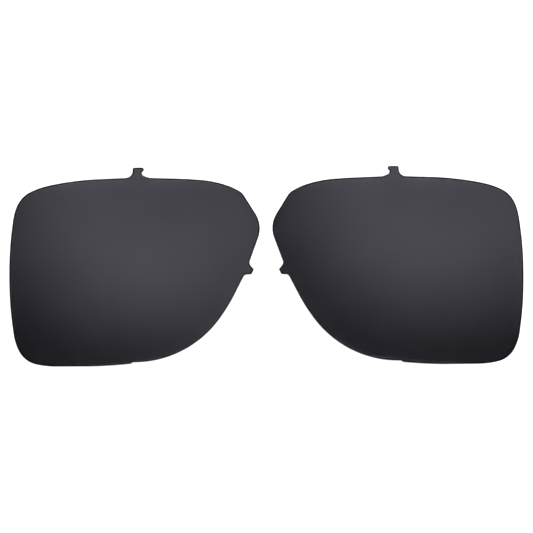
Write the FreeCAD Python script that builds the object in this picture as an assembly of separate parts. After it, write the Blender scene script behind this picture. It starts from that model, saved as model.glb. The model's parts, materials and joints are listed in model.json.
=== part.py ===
import FreeCAD, Part
import math
import os

# A pair of loose clip-in sunglass lenses, lying front side up on a table.
# Millimetres. +X is the wearer's left, +Y is towards the brow, +Z is up from the table.
# The origin is on the table, midway between the two lenses and midway between brow and cheek.

# Driving dimensions
LENS_GAP = 3.14  # between the nose sides of the two lenses as they lie
FRONT_RADIUS = 88.3  # six-base front curve
CENTRE_THICKNESS = 1.8
CAP_SHEET = 0.30  # each of the two sheets that hold the polarising film
POLARISER = 0.04
REFRACTIVE_INDEX = 1.585  # polycarbonate, sets the rear curve of a lens without power
EDGE_CHAMFER = 0.2

# The lens axis stands in the middle of the smallest circle round the outline,
# so the rear rim meets the table at three points: two temple corners and the nose.
AXIS_FROM_NOSE = 31.2
AXIS_FROM_MID_HEIGHT = -2.5

# Outline of the left lens, clockwise from the brow tab, as the corners of a polygon:
# (distance from the nose end, height from mid height, radius that rounds the corner).
OUTLINE = [
    # brow tab: a head, a short neck and a fillet into the brow edge
    (28.62, 24.55, 0.45),
    (31.40, 24.55, 0.45),
    (31.22, 22.05, 1.75),
    # brow edge and upper temple corner
    (45.3, 21.55, 75.0),
    (54.2, 19.85, 21.0),
    (59.15, 17.6, 7.0),
    (60.8, 13.5, 13.0),
    # temple edge
    (62.1, 5.0, 90.0),
    (62.1, -9.3, 90.0),
    # lower temple corner and cheek edge
    (60.85, -18.7, 13.0),
    (58.55, -23.35, 6.2),
    (53.1, -24.55, 23.0),
    (39.2, -24.55, 100.0),
    # step in the cheek edge
    (32.02, -23.97, 0.35),
    (31.72, -23.59, 0.2),
    (29.2, -23.55, 20.0),
    # long sweep up towards the nose
    (17.0, -22.1, 26.0),
    (8.0, -10.15, 44.0),
    # nose hook
    (3.85, -2.05, 1.0),
    (2.17, -2.05, 0.35),
    (1.50, -0.8, 0.4),
    (2.8, 0.6, 1.3),
    # nose edge and upper nose corner
    (-0.73, 10.15, 6.8),
    (4.3, 18.2, 3.2),
    (6.8, 19.62, 14.0),
    (11.6, 21.2, 28.0),
    (18.1, 21.68, 80.0),
    # fillet up to the neck of the brow tab
    (27.3, 21.98, 3.0),
    (29.12, 22.65, 0.8),
    (29.12, 23.45, 0.25),
    (28.62, 23.75, 0.35),
]

# Derived dimensions
REAR_RADIUS = FRONT_RADIUS - CENTRE_THICKNESS * (REFRACTIVE_INDEX - 1) / REFRACTIVE_INDEX
BACKING = CENTRE_THICKNESS - 2 * CAP_SHEET - POLARISER
BLANK_HEIGHT = 40.0  # tall enough for every curved surface to pass through the blank


def rounded_polygon(corners):
    """Closed wire through the corners, each rounded by an arc that meets its sides smoothly."""
    points = [FreeCAD.Vector(x, y, 0) for x, y, radius in corners]
    arcs = []
    for i, (x, y, radius) in enumerate(corners):
        corner = points[i]
        back = (points[i - 1] - corner).normalize()
        ahead = (points[(i + 1) % len(points)] - corner).normalize()
        half_angle = back.getAngle(ahead) / 2
        setback = radius / math.tan(half_angle)
        to_middle = radius / math.sin(half_angle) - radius
        middle = corner + (back + ahead).normalize() * to_middle
        arcs.append((corner + back * setback, middle, corner + ahead * setback))
    edges = []
    for i, (start, middle, end) in enumerate(arcs):
        edges.append(Part.Arc(start, middle, end).toShape())
        next_start = arcs[(i + 1) % len(arcs)][0]
        edges.append(Part.LineSegment(end, next_start).toShape())
    return Part.Wire(edges)


def ball_on_axis(axis, radius, top_height):
    """Ball whose highest point is on the lens axis, turned so its poles and seam miss the lens."""
    ball = Part.makeSphere(radius)
    ball.rotate(FreeCAD.Vector(), FreeCAD.Vector(1, 0, 0), 90)
    ball.translate(axis + FreeCAD.Vector(0, 0, top_height - radius))
    return ball


def chamfered_lens(side):
    """Whole lens with the top of its front at z = 0, and its axis; side 1 is the left lens, -1 the right."""
    half_gap = LENS_GAP / 2
    corners = [(side * (half_gap + x), y, radius) for x, y, radius in OUTLINE]
    axis = FreeCAD.Vector(side * (half_gap + AXIS_FROM_NOSE), AXIS_FROM_MID_HEIGHT, 0)
    blank = Part.Face(rounded_polygon(corners)).extrude(FreeCAD.Vector(0, 0, -BLANK_HEIGHT))
    lens = blank.common(ball_on_axis(axis, FRONT_RADIUS, 0))
    lens = lens.cut(ball_on_axis(axis, REAR_RADIUS, -CENTRE_THICKNESS))
    rims = []
    for face in lens.Faces:
        if isinstance(face.Surface, Part.Sphere):
            rims.extend(face.OuterWire.Edges)
    return lens.makeChamfer(EDGE_CHAMFER, rims), axis


def split_into_plies(lens, axis):
    """Front sheet, polarising film, inner sheet and moulded backing, from the front to the back."""
    plies = {}
    depth = 0.0
    rest = lens
    for name, thickness in (
        ("front_sheet", CAP_SHEET),
        ("polarizing_film", POLARISER),
        ("inner_sheet", CAP_SHEET),
    ):
        depth += thickness
        inner_ball = ball_on_axis(axis, FRONT_RADIUS - depth, -depth)
        plies[name] = rest.cut(inner_ball)
        rest = rest.common(inner_ball)
    plies["backing"] = rest
    return plies


def main():
    os.makedirs("parts", exist_ok=True)
    for prefix, side in (("left", 1), ("right", -1)):
        lens, axis = chamfered_lens(side)
        lift = FreeCAD.Vector(0, 0, -lens.optimalBoundingBox(False, False).ZMin)
        for name, ply in split_into_plies(lens, axis).items():
            ply.translate(lift)
            ply.exportStep(f"parts/{prefix}_{name}.step")
            box = ply.optimalBoundingBox(False, False)
            print(
                f"{prefix}_{name}: {len(ply.Solids)} solid, {ply.Volume:.1f} mm3, "
                f"x {box.XMin:.2f} to {box.XMax:.2f}, y {box.YMin:.2f} to {box.YMax:.2f}, "
                f"z {box.ZMin:.3f} to {box.ZMax:.3f}"
            )


main()
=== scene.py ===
import json
import math

import bpy
from mathutils import Matrix, Vector, geometry

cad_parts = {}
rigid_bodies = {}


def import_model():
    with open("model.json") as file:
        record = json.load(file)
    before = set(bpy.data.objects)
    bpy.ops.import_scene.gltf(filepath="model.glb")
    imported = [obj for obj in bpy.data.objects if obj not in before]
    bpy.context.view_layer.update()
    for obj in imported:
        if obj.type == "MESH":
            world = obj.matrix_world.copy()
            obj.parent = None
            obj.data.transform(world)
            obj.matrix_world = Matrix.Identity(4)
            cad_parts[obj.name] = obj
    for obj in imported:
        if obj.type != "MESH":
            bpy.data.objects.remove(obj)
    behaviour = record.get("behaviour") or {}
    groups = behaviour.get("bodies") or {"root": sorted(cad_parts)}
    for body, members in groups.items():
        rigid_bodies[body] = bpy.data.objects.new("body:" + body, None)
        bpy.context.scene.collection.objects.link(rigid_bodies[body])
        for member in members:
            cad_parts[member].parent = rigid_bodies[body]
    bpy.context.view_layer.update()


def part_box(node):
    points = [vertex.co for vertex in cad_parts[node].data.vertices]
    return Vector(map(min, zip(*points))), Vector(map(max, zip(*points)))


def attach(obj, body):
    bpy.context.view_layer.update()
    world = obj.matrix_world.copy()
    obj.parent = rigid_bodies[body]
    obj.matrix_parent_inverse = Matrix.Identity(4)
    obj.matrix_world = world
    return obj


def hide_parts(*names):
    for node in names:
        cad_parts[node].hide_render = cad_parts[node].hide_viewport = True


# The finished look of a pair of loose clip-in sunglass lenses on a white table.
# Metres, in the frame of the CAD model. OUTLINE alone is in millimetres, as a lens drawing gives it.

MM = 0.001

# ---------------------------------------------------------------- lens dimensions, as the CAD has them
LENS_GAP = 3.14 * MM
FRONT_RADIUS = 88.3 * MM
CENTRE_THICKNESS = 1.8 * MM
CAP_SHEET = 0.30 * MM
POLARISER = 0.04 * MM
REFRACTIVE_INDEX = 1.585
AXIS_FROM_NOSE = 31.2 * MM
AXIS_FROM_MID_HEIGHT = -2.5 * MM
REAR_RADIUS = FRONT_RADIUS - CENTRE_THICKNESS * (REFRACTIVE_INDEX - 1) / REFRACTIVE_INDEX

# Corners of the left lens, clockwise from the brow tab:
# (distance from the nose end, height from mid height, radius that rounds the corner).
OUTLINE = [
    # brow tab: its head, and a fillet into the brow edge
    (28.62, 24.55, 0.45),
    (31.40, 24.55, 0.45),
    (31.22, 22.05, 1.75),
    # brow edge and upper temple corner
    (45.3, 21.55, 75.0),
    (54.2, 19.85, 21.0),
    (59.15, 17.6, 7.0),
    (60.8, 13.5, 13.0),
    # temple edge
    (62.1, 5.0, 90.0),
    (62.1, -9.3, 90.0),
    # lower temple corner and cheek edge
    (60.85, -18.7, 13.0),
    (58.55, -23.35, 6.2),
    (53.1, -24.55, 23.0),
    (39.2, -24.55, 100.0),
    # step in the cheek edge
    (32.02, -23.97, 0.35),
    (31.72, -23.59, 0.2),
    (29.2, -23.55, 20.0),
    # long sweep up towards the nose
    (17.0, -22.1, 26.0),
    (8.0, -10.15, 44.0),
    # nose hook
    (3.85, -2.05, 1.0),
    (2.17, -2.05, 0.35),
    (1.50, -0.8, 0.4),
    (2.8, 0.6, 1.3),
    # nose edge and upper nose corner
    (-0.73, 10.15, 6.8),
    (4.3, 18.2, 3.2),
    (6.8, 19.62, 14.0),
    (11.6, 21.2, 28.0),
    (18.1, 21.68, 80.0),
    # brow tab again: a fillet, the neck, and the lip of the head over it
    (27.3, 21.98, 3.0),
    (29.12, 22.65, 0.8),
    (29.12, 23.45, 0.25),
    (28.62, 23.75, 0.35),
]

# The bevel looks wider from above than it is deep.
BEVEL_WIDTH = 0.3 * MM
BEVEL_DEPTH = 0.2 * MM

# What the faces mirror shows that neither lens is quite level: both turn a little towards the nose,
# the left one also down the picture and the right one up it. Only the shading leans, not the shape.
REFLECTION_LEAN = (-0.0286, -0.0251)

# ---------------------------------------------------------------- mesh fineness
ARC_STEP = math.radians(6)  # largest turn between two points of a rounded corner
EDGE_STEP = 0.8 * MM  # longest stretch between two points of the edge
FACE_STEP = 1.2 * MM  # spacing of the points inside a polished face
GRID_CLEARANCE = 0.6 * FACE_STEP  # least distance from those points to the edge of the face
BOND_LINE = 0.004 * MM  # gap that keeps the faces of two bonded plies apart

TOP_FACE, BOTTOM_FACE, CUT_EDGE, BEVEL = range(4)  # material numbers in the mesh of a ply

# ---------------------------------------------------------------- light on and through the plies
SMOKE = (0.945, 0.937, 1.118)  # blue-grey cast of the light that comes through a whole lens
FRONT_SKIN_PASSES = 0.21  # the dyed outer skin of the front sheet
SHEET_FACE_PASSES = 0.96
FILM_FACE_PASSES = 0.67
BACKING_FACE_PASSES = 0.91
LENS_PASSES = FRONT_SKIN_PASSES * SHEET_FACE_PASSES ** 3 * FILM_FACE_PASSES ** 2 * BACKING_FACE_PASSES ** 2
HEAD_ON_REFLECTION = ((REFRACTIVE_INDEX - 1) / (REFRACTIVE_INDEX + 1)) ** 2
REFLECTION_TINT = (0.893, 0.867, 1.0, 1.0)
POLISH_ROUGHNESS = 0.03

# ---------------------------------------------------------------- unevenness of the surfaces
NOISE_SPAN = (0.3, 0.7)  # nearly all of a noise texture's values lie between these
TINT_NOISE_SCALE = 90.0
TINT_VARIES = (0.985, 1.015)
POLISH_NOISE_SCALE = 400.0
POLISH_VARIES = (0.7, 1.3)

# ---------------------------------------------------------------- edges, as (base colour, gloss)
SHEET_EDGE = ((0.0085, 0.0084, 0.0100), 0.12)
FILM_EDGE = ((0.0030, 0.0030, 0.0038), 0.08)
BACKING_EDGE = ((0.0070, 0.0069, 0.0085), 0.12)
BEVEL_EDGE = ((0.0022, 0.0021, 0.0026), 0.0)
EDGE_ROUGHNESS = 0.55
CUT_LINES = (60.0, 60.0, 9000.0)  # how closely the noise is packed along X, Y and Z
CUT_LINES_VARY = (0.7, 1.3)
CUT_LINES_BUMP = 0.25
CUT_LINES_DEPTH = 0.01 * MM

# ---------------------------------------------------------------- studio
TABLE_SIZE = 12.0
TABLE_WHITE = (0.9, 0.9, 0.9)
TABLE_NOISE_SCALE = 25.0
TABLE_VARIES = (0.985, 1.0)
KEY_STRENGTH = 4.6
KEY_ANGLE = math.radians(24)
KEY_HEIGHT = 1.5  # a sun lamp shines the same from any height

# The softbox and the room, like REFLECTION_LEAN, were fitted to the greys that the lenses mirror.
SOFTBOX_CENTRE = (0.179, 0.626)  # horizontal part of the direction to its middle
SOFTBOX_HALF_SIZE = (0.652, 0.626)
SOFTBOX_FADE = (0.577, 1.852)  # where its edge starts and ends to fade, in half sizes
SOFTBOX_SLOPE = (-0.197, -1.194, 0.0)  # it dims towards +Y, and a little towards +X
SOFTBOX_STRENGTH = 0.828
ROOM_STRENGTH = 0.122
HORIZON_STRENGTH = 1.0
SOFTBOX_FULL_AT = 0.3  # height in the sky, as the Z of a direction, where the softbox has its whole strength
HORIZON_ENDS_AT = 0.45  # height in the sky where the pale horizon ends

CAMERA_HEIGHT = 2.0
PICTURE_WIDTH = 132.0 * MM
PICTURE_PLANE = 2.5 * MM
CAMERA_CENTRE = (0.041 * MM, -0.131 * MM)
CAMERA_ROLL = math.radians(-0.385)
CAMERA_SENSOR = 36.0
CAMERA_CLIP = (0.1, 10.0)
TRANSPARENT_BOUNCES = 48  # see-through faces that a ray may cross


# ================================================================ plan of a lens
def corner_arc(centre, start, end):
    """Points round a corner, without its end, each with the direction away from the arc's centre."""
    spoke = start - centre
    turn = spoke.angle_signed(end - centre)
    steps = max(2, math.ceil(abs(turn) / ARC_STEP), math.ceil(abs(turn) * spoke.length / EDGE_STEP))
    spokes = [Matrix.Rotation(-turn * i / steps, 2) @ spoke for i in range(steps)]
    return [(centre + s, s.normalized()) for s in spokes]


def straight_run(start, end):
    """Points along a straight stretch, without its end, each with the direction to the right of travel."""
    steps = max(1, math.ceil((end - start).length / EDGE_STEP))
    along = (end - start).normalized()
    return [(start.lerp(end, i / steps), Vector((along.y, -along.x))) for i in range(steps)]


def lens_edge():
    """Points round the edge of the left lens, anticlockwise from above, each with its outward normal."""
    corners = [(Vector((LENS_GAP / 2 + x * MM, y * MM)), r * MM) for x, y, r in reversed(OUTLINE)]
    arcs = []
    for i, (corner, radius) in enumerate(corners):
        back = (corners[i - 1][0] - corner).normalized()
        ahead = (corners[(i + 1) % len(corners)][0] - corner).normalized()
        half_angle = back.angle(ahead) / 2
        centre = corner + (back + ahead).normalized() * radius / math.sin(half_angle)
        setback = radius / math.tan(half_angle)
        bulges = back.x * ahead.y - back.y * ahead.x < 0
        arcs.append((centre, corner + back * setback, corner + ahead * setback, bulges))
    points = []
    for i, (centre, start, end, bulges) in enumerate(arcs):
        points += [(p, away if bulges else -away) for p, away in corner_arc(centre, start, end)]
        points += straight_run(end, arcs[(i + 1) % len(arcs)][1])
    return points


def is_inside(point, loop):
    """True if a line from the point to the far right crosses the loop an odd number of times."""
    inside = False
    for a, b in zip(loop, loop[1:] + loop[:1]):
        if (a.y > point.y) != (b.y > point.y):
            inside ^= point.x < a.x + (b.x - a.x) * (point.y - a.y) / (b.y - a.y)
    return inside


def grid_inside(loop):
    """Points of a triangular grid that lie inside a loop, clear of its own points."""
    left, right = min(p.x for p in loop), max(p.x for p in loop)
    low, high = min(p.y for p in loop), max(p.y for p in loop)
    row_height = FACE_STEP * math.sqrt(3) / 2
    points = []
    for row in range(math.ceil((high - low) / row_height)):
        for column in range(math.ceil((right - left) / FACE_STEP) + 1):
            point = Vector((left + (column + row % 2 / 2) * FACE_STEP, low + row * row_height))
            if is_inside(point, loop) and min((point - p).length for p in loop) > GRID_CLEARANCE:
                points.append(point)
    return points


class Plan:
    """The left lens seen from above: its rim, and the points and triangles inside its bevel."""

    def __init__(self):
        edge = lens_edge()
        self.rim = [point for point, _ in edge]
        self.outward = [Vector((normal.x, normal.y, 0)) for _, normal in edge]
        inner = [point - normal * BEVEL_WIDTH for point, normal in edge]
        self.points, _, self.triangles, *_ = geometry.delaunay_2d_cdt(
            inner + grid_inside(inner), [], [list(range(len(inner)))], 1, 1e-9)


# ================================================================ plies of a lens
class Dome:
    """A spherical face of the left lens, round the lens's upright axis."""

    axis = Vector((LENS_GAP / 2 + AXIS_FROM_NOSE, AXIS_FROM_MID_HEIGHT))

    def __init__(self, radius, top):
        self.radius = radius
        self.centre = top - radius

    def normal(self, point):
        across = (point - self.axis) / self.radius
        return Vector((across.x, across.y, math.sqrt(1 - across.length_squared)))

    def lift(self, point):
        """The point of the dome over a point of the plan."""
        return Vector((point.x, point.y, self.centre + self.radius * self.normal(point).z))


def ply_mesh(name, plan, side, top, bottom, bevelled):
    """A closed mesh of one ply, side 1 for the left lens and -1 for the right.

    bevelled is the face with the bevel round it, or None.
    """
    vertices, faces, finishes, normals = [], [], [], []

    def add_points(points):
        first = len(vertices)
        vertices.extend((side * p.x, p.y, p.z) for p in points)
        return first

    def add_face(finish, *corners):
        """A face through corners of (vertex, normal), anticlockwise on the left lens."""
        corners = corners[::side]
        faces.append([vertex for vertex, _ in corners])
        finishes.append(finish)
        normals.extend((side * n.x, n.y, n.z) for _, n in corners)

    lean = Vector((REFLECTION_LEAN[0], side * REFLECTION_LEAN[1], 0))
    edge = [(i, (i + 1) % len(plan.rim)) for i in range(len(plan.rim))]
    rims = []
    for finish, dome, way in ((TOP_FACE, top, 1), (BOTTOM_FACE, bottom, -1)):
        has_bevel = dome is bevelled
        drop = Vector((0, 0, way * BEVEL_DEPTH if has_bevel else 0))
        face = add_points(dome.lift(p) for p in plan.points)
        rim = add_points(dome.lift(p) - drop for p in plan.rim)
        rims.append(rim)
        out = [(dome.normal(p) + lean).normalized() * way for p in plan.points]
        for triangle in plan.triangles:
            add_face(finish, *[(face + i, out[i]) for i in triangle[::way]])
        slope = [(o + w).normalized() if has_bevel else o for o, w in zip(out, plan.outward)]
        for i, j in edge:
            ring = [(face + i, slope[i]), (rim + i, slope[i]), (rim + j, slope[j]), (face + j, slope[j])]
            add_face(BEVEL if has_bevel else finish, *ring[::way])
    for i, j in edge:
        wall = [(rims[0] + i, i), (rims[1] + i, i), (rims[1] + j, j), (rims[0] + j, j)]
        add_face(CUT_EDGE, *[(vertex, plan.outward[k]) for vertex, k in wall])

    mesh = bpy.data.meshes.new(name)
    mesh.from_pydata(vertices, [], faces, shade_flat=False)
    mesh.polygons.foreach_set("material_index", finishes)
    mesh.update()
    mesh.normals_split_custom_set(normals)
    return mesh


def build_lenses():
    plan = Plan()
    front_top = max(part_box("left_front_sheet")[1].z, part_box("right_front_sheet")[1].z)

    def dome_under(depth):
        """The sphere this far under the front face."""
        return Dome(FRONT_RADIUS - depth, front_top - depth)

    def bond(depth):
        """The lower face of the ply over a bond this deep, and the upper face of the ply under it."""
        return dome_under(depth - BOND_LINE / 2), dome_under(depth + BOND_LINE / 2)

    front = dome_under(0)
    over_film, film_top = bond(CAP_SHEET)
    film_bottom, under_film = bond(CAP_SHEET + POLARISER)
    over_backing, backing_top = bond(2 * CAP_SHEET + POLARISER)
    rear = Dome(REAR_RADIUS, front_top - CENTRE_THICKNESS)

    front_skin = polished_face("front_sheet_polished_face", FRONT_SKIN_PASSES)
    rear_skin = polished_face("backing_polished_face", BACKING_FACE_PASSES)
    sheet_face = bonded_face("smoke_sheet_bonded_face", SHEET_FACE_PASSES)
    film_face = bonded_face("polarizing_film_face", FILM_FACE_PASSES)
    backing_face = bonded_face("backing_bonded_face", BACKING_FACE_PASSES)
    sheet_edge = ground_edge("smoke_sheet_ground_edge", *SHEET_EDGE)
    film_edge = ground_edge("polarizing_film_cut_edge", *FILM_EDGE)
    backing_edge = ground_edge("backing_ground_edge", *BACKING_EDGE)
    bevel = ground_edge("ground_bevel", *BEVEL_EDGE)

    plies = [
        ("front_sheet", "smoke_sheet", front, over_film, front, (front_skin, sheet_face, sheet_edge, bevel)),
        ("polarizing_film", "dark_film", film_top, film_bottom, None, (film_face, film_face, film_edge)),
        ("inner_sheet", "smoke_sheet", under_film, over_backing, None, (sheet_face, sheet_face, sheet_edge)),
        ("backing", "smoke_backing", backing_top, rear, rear, (backing_face, rear_skin, backing_edge, bevel)),
    ]
    for hand, side in (("left", 1), ("right", -1)):
        for ply, slot, top, bottom, bevelled, materials in plies:
            name = f"{hand}_lens_{ply}"
            mesh = ply_mesh(name, plan, side, top, bottom, bevelled)
            for material in materials:
                mesh.materials.append(material)
            piece = bpy.data.objects.new(name, mesh)
            bpy.context.scene.collection.objects.link(piece)
            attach(piece, f"{hand}_lens")
            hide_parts(f"{hand}_{ply}")


# ================================================================ materials
class Shader:
    """A material's node tree, built one node at a time."""

    def __init__(self, owner):
        owner.use_nodes = True
        self.tree = owner.node_tree
        self.tree.nodes.clear()

    def add(self, kind, settings=None, **inputs):
        """A node with its settings, and inputs that are values or the outputs of other nodes."""
        node = self.tree.nodes.new("ShaderNode" + kind)
        for key, value in (settings or {}).items():
            setattr(node, key, value)
        for key, value in inputs.items():
            socket = node.inputs[int(key[1:])] if key[0] == "_" else node.inputs[key.replace("_", " ")]
            if isinstance(value, bpy.types.NodeSocket):
                self.tree.links.new(value, socket)
            else:
                socket.default_value = value
        return node

    def math(self, operation, *values):
        inputs = {f"_{i}": value for i, value in enumerate(values)}
        return self.add("Math", {"operation": operation}, **inputs).outputs[0]

    def noise(self, scale, low, high, detail=2.0):
        """A value that wanders between low and high over the piece."""
        place = self.add("TexCoord").outputs["Object"]
        wander = self.add("TexNoise", Vector=place, Scale=scale, Detail=detail).outputs[0]
        return self.spread(wander, *NOISE_SPAN, low, high)

    def spread(self, value, from_low, from_high, low, high, interpolation="LINEAR"):
        node = self.add("MapRange", {"interpolation_type": interpolation, "clamp": True})
        self.tree.links.new(value, node.inputs[0])
        for socket, number in zip(node.inputs[1:5], (from_low, from_high, low, high)):
            socket.default_value = number
        return node.outputs[0]

    def scaled(self, colour, value):
        """A fixed colour times a value from another node."""
        node = self.add("VectorMath", {"operation": "SCALE"}, Vector=colour, Scale=value)
        return node.outputs[0]


def passing(share):
    """Colour of the light that passes a face which lets this share through."""
    part = math.log(share) / math.log(LENS_PASSES)
    return tuple(share * cast ** part for cast in SMOKE)


def new_shader(name):
    material = bpy.data.materials.new(name)
    return material, Shader(material)


def tinted_glass(shader, share):
    tint = shader.scaled(passing(share), shader.noise(TINT_NOISE_SCALE, *TINT_VARIES))
    return shader.add("BsdfTransparent", Color=tint).outputs[0]


def bonded_face(name, share):
    """A face glued to the next ply: light only passes."""
    material, shader = new_shader(name)
    shader.add("OutputMaterial", Surface=tinted_glass(shader, share))
    return material


def polished_face(name, share):
    """A face open to the air: the more it is seen aslant, the more it mirrors."""
    material, shader = new_shader(name)
    # Schlick's formula: with a blend of 0.5, Facing is 1 minus the cosine that the formula takes.
    facing = shader.add("LayerWeight", Blend=0.5).outputs["Facing"]
    fifth_power = shader.math("POWER", facing, 5.0)
    mirrored = shader.math("MULTIPLY_ADD", fifth_power, 1 - HEAD_ON_REFLECTION, HEAD_ON_REFLECTION)
    smoothest, roughest = [POLISH_ROUGHNESS * part for part in POLISH_VARIES]
    polish = shader.noise(POLISH_NOISE_SCALE, smoothest, roughest, detail=4.0)
    gloss = shader.add("BsdfGlossy", Color=REFLECTION_TINT, Roughness=polish).outputs[0]
    surface = shader.add("MixShader", _0=mirrored, _1=tinted_glass(shader, share), _2=gloss)
    shader.add("OutputMaterial", Surface=surface.outputs[0])
    return material


def ground_edge(name, colour, gloss):
    """A cut and ground edge: dull and dark, with fine lines along the cut."""
    material, shader = new_shader(name)
    place = shader.add("TexCoord").outputs["Object"]
    stretched = shader.add("Mapping", Vector=place, Scale=CUT_LINES).outputs[0]
    lines = shader.add("TexNoise", Vector=stretched, Scale=1.0, Detail=3.0).outputs[0]
    shade = shader.spread(lines, *NOISE_SPAN, *CUT_LINES_VARY)
    bump = shader.add("Bump", Strength=CUT_LINES_BUMP, Distance=CUT_LINES_DEPTH, Height=lines).outputs[0]
    plastic = shader.add("BsdfPrincipled", Base_Color=shader.scaled(colour, shade), Roughness=EDGE_ROUGHNESS,
                         Specular_IOR_Level=gloss, Normal=bump)
    shader.add("OutputMaterial", Surface=plastic.outputs[0])
    return material


def table_paint():
    material, shader = new_shader("white_table")
    white = shader.scaled(TABLE_WHITE, shader.noise(TABLE_NOISE_SCALE, *TABLE_VARIES))
    paint = shader.add("BsdfDiffuse", Color=white)
    shader.add("OutputMaterial", Surface=paint.outputs[0])
    return material


# ================================================================ studio
def build_table():
    half = TABLE_SIZE / 2
    mesh = bpy.data.meshes.new("table")
    corners = [(-half, -half, 0), (half, -half, 0), (half, half, 0), (-half, half, 0)]
    mesh.from_pydata(corners, [], [(0, 1, 2, 3)])
    mesh.materials.append(table_paint())
    table = bpy.data.objects.new("table", mesh)
    bpy.context.scene.collection.objects.link(table)


def build_key_light():
    """Soft light from straight overhead that whitens the table and isn't mirrored by the lenses."""
    lamp = bpy.data.lights.new("key_light", "SUN")
    lamp.energy = KEY_STRENGTH
    lamp.angle = KEY_ANGLE
    key = bpy.data.objects.new("key_light", lamp)
    key.location = (0, 0, KEY_HEIGHT)
    key.visible_glossy = False
    bpy.context.scene.collection.objects.link(key)


def build_surroundings():
    """What the lenses mirror: a wide softbox overhead in a dim room with a pale horizon."""
    world = bpy.data.worlds.new("studio")
    bpy.context.scene.world = world
    shader = Shader(world)
    direction = shader.add("TexCoord").outputs["Generated"]
    x, y, z = shader.add("SeparateXYZ", Vector=direction).outputs
    across = shader.math("DIVIDE", shader.math("SUBTRACT", x, SOFTBOX_CENTRE[0]), SOFTBOX_HALF_SIZE[0])
    along = shader.math("DIVIDE", shader.math("SUBTRACT", y, SOFTBOX_CENTRE[1]), SOFTBOX_HALF_SIZE[1])
    offset = shader.add("CombineXYZ", X=across, Y=along).outputs[0]
    distance = shader.add("VectorMath", {"operation": "LENGTH"}, _0=offset).outputs["Value"]
    softbox = shader.spread(distance, *SOFTBOX_FADE, SOFTBOX_STRENGTH, 0.0, "SMOOTHSTEP")
    slope = shader.add("VectorMath", {"operation": "DOT_PRODUCT"}, _0=direction, _1=SOFTBOX_SLOPE)
    level = 1 - SOFTBOX_SLOPE[0] * SOFTBOX_CENTRE[0] - SOFTBOX_SLOPE[1] * SOFTBOX_CENTRE[1]
    dimming = shader.math("ADD", slope.outputs["Value"], level)
    upper_half = shader.spread(z, 0.0, SOFTBOX_FULL_AT, 0.0, 1.0, "SMOOTHSTEP")
    overhead = shader.math("MULTIPLY", shader.math("MULTIPLY", softbox, dimming), upper_half)
    horizon = shader.spread(z, 0.0, HORIZON_ENDS_AT, HORIZON_STRENGTH, 0.0, "SMOOTHSTEP")
    strength = shader.math("ADD", shader.math("ADD", overhead, horizon), ROOM_STRENGTH)
    background = shader.add("Background", Color=(1.0, 1.0, 1.0, 1.0), Strength=strength)
    shader.add("OutputWorld", Surface=background.outputs[0])


def build_camera():
    """Straight above the pair, from far enough for the picture to look flat."""
    lens = bpy.data.cameras.new("camera")
    lens.sensor_width = CAMERA_SENSOR
    lens.lens = lens.sensor_width * CAMERA_HEIGHT / PICTURE_WIDTH
    lens.clip_start, lens.clip_end = CAMERA_CLIP
    camera = bpy.data.objects.new("camera", lens)
    camera.location = (*CAMERA_CENTRE, PICTURE_PLANE + CAMERA_HEIGHT)
    camera.rotation_euler = (0, 0, CAMERA_ROLL)
    bpy.context.scene.collection.objects.link(camera)
    bpy.context.scene.camera = camera


def main():
    for thing in list(bpy.data.objects):
        bpy.data.objects.remove(thing)
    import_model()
    build_lenses()
    build_table()
    build_key_light()
    build_surroundings()
    build_camera()
    scene = bpy.context.scene
    scene.view_settings.view_transform = "Standard"
    scene.cycles.transparent_max_bounces = TRANSPARENT_BOUNCES


main()
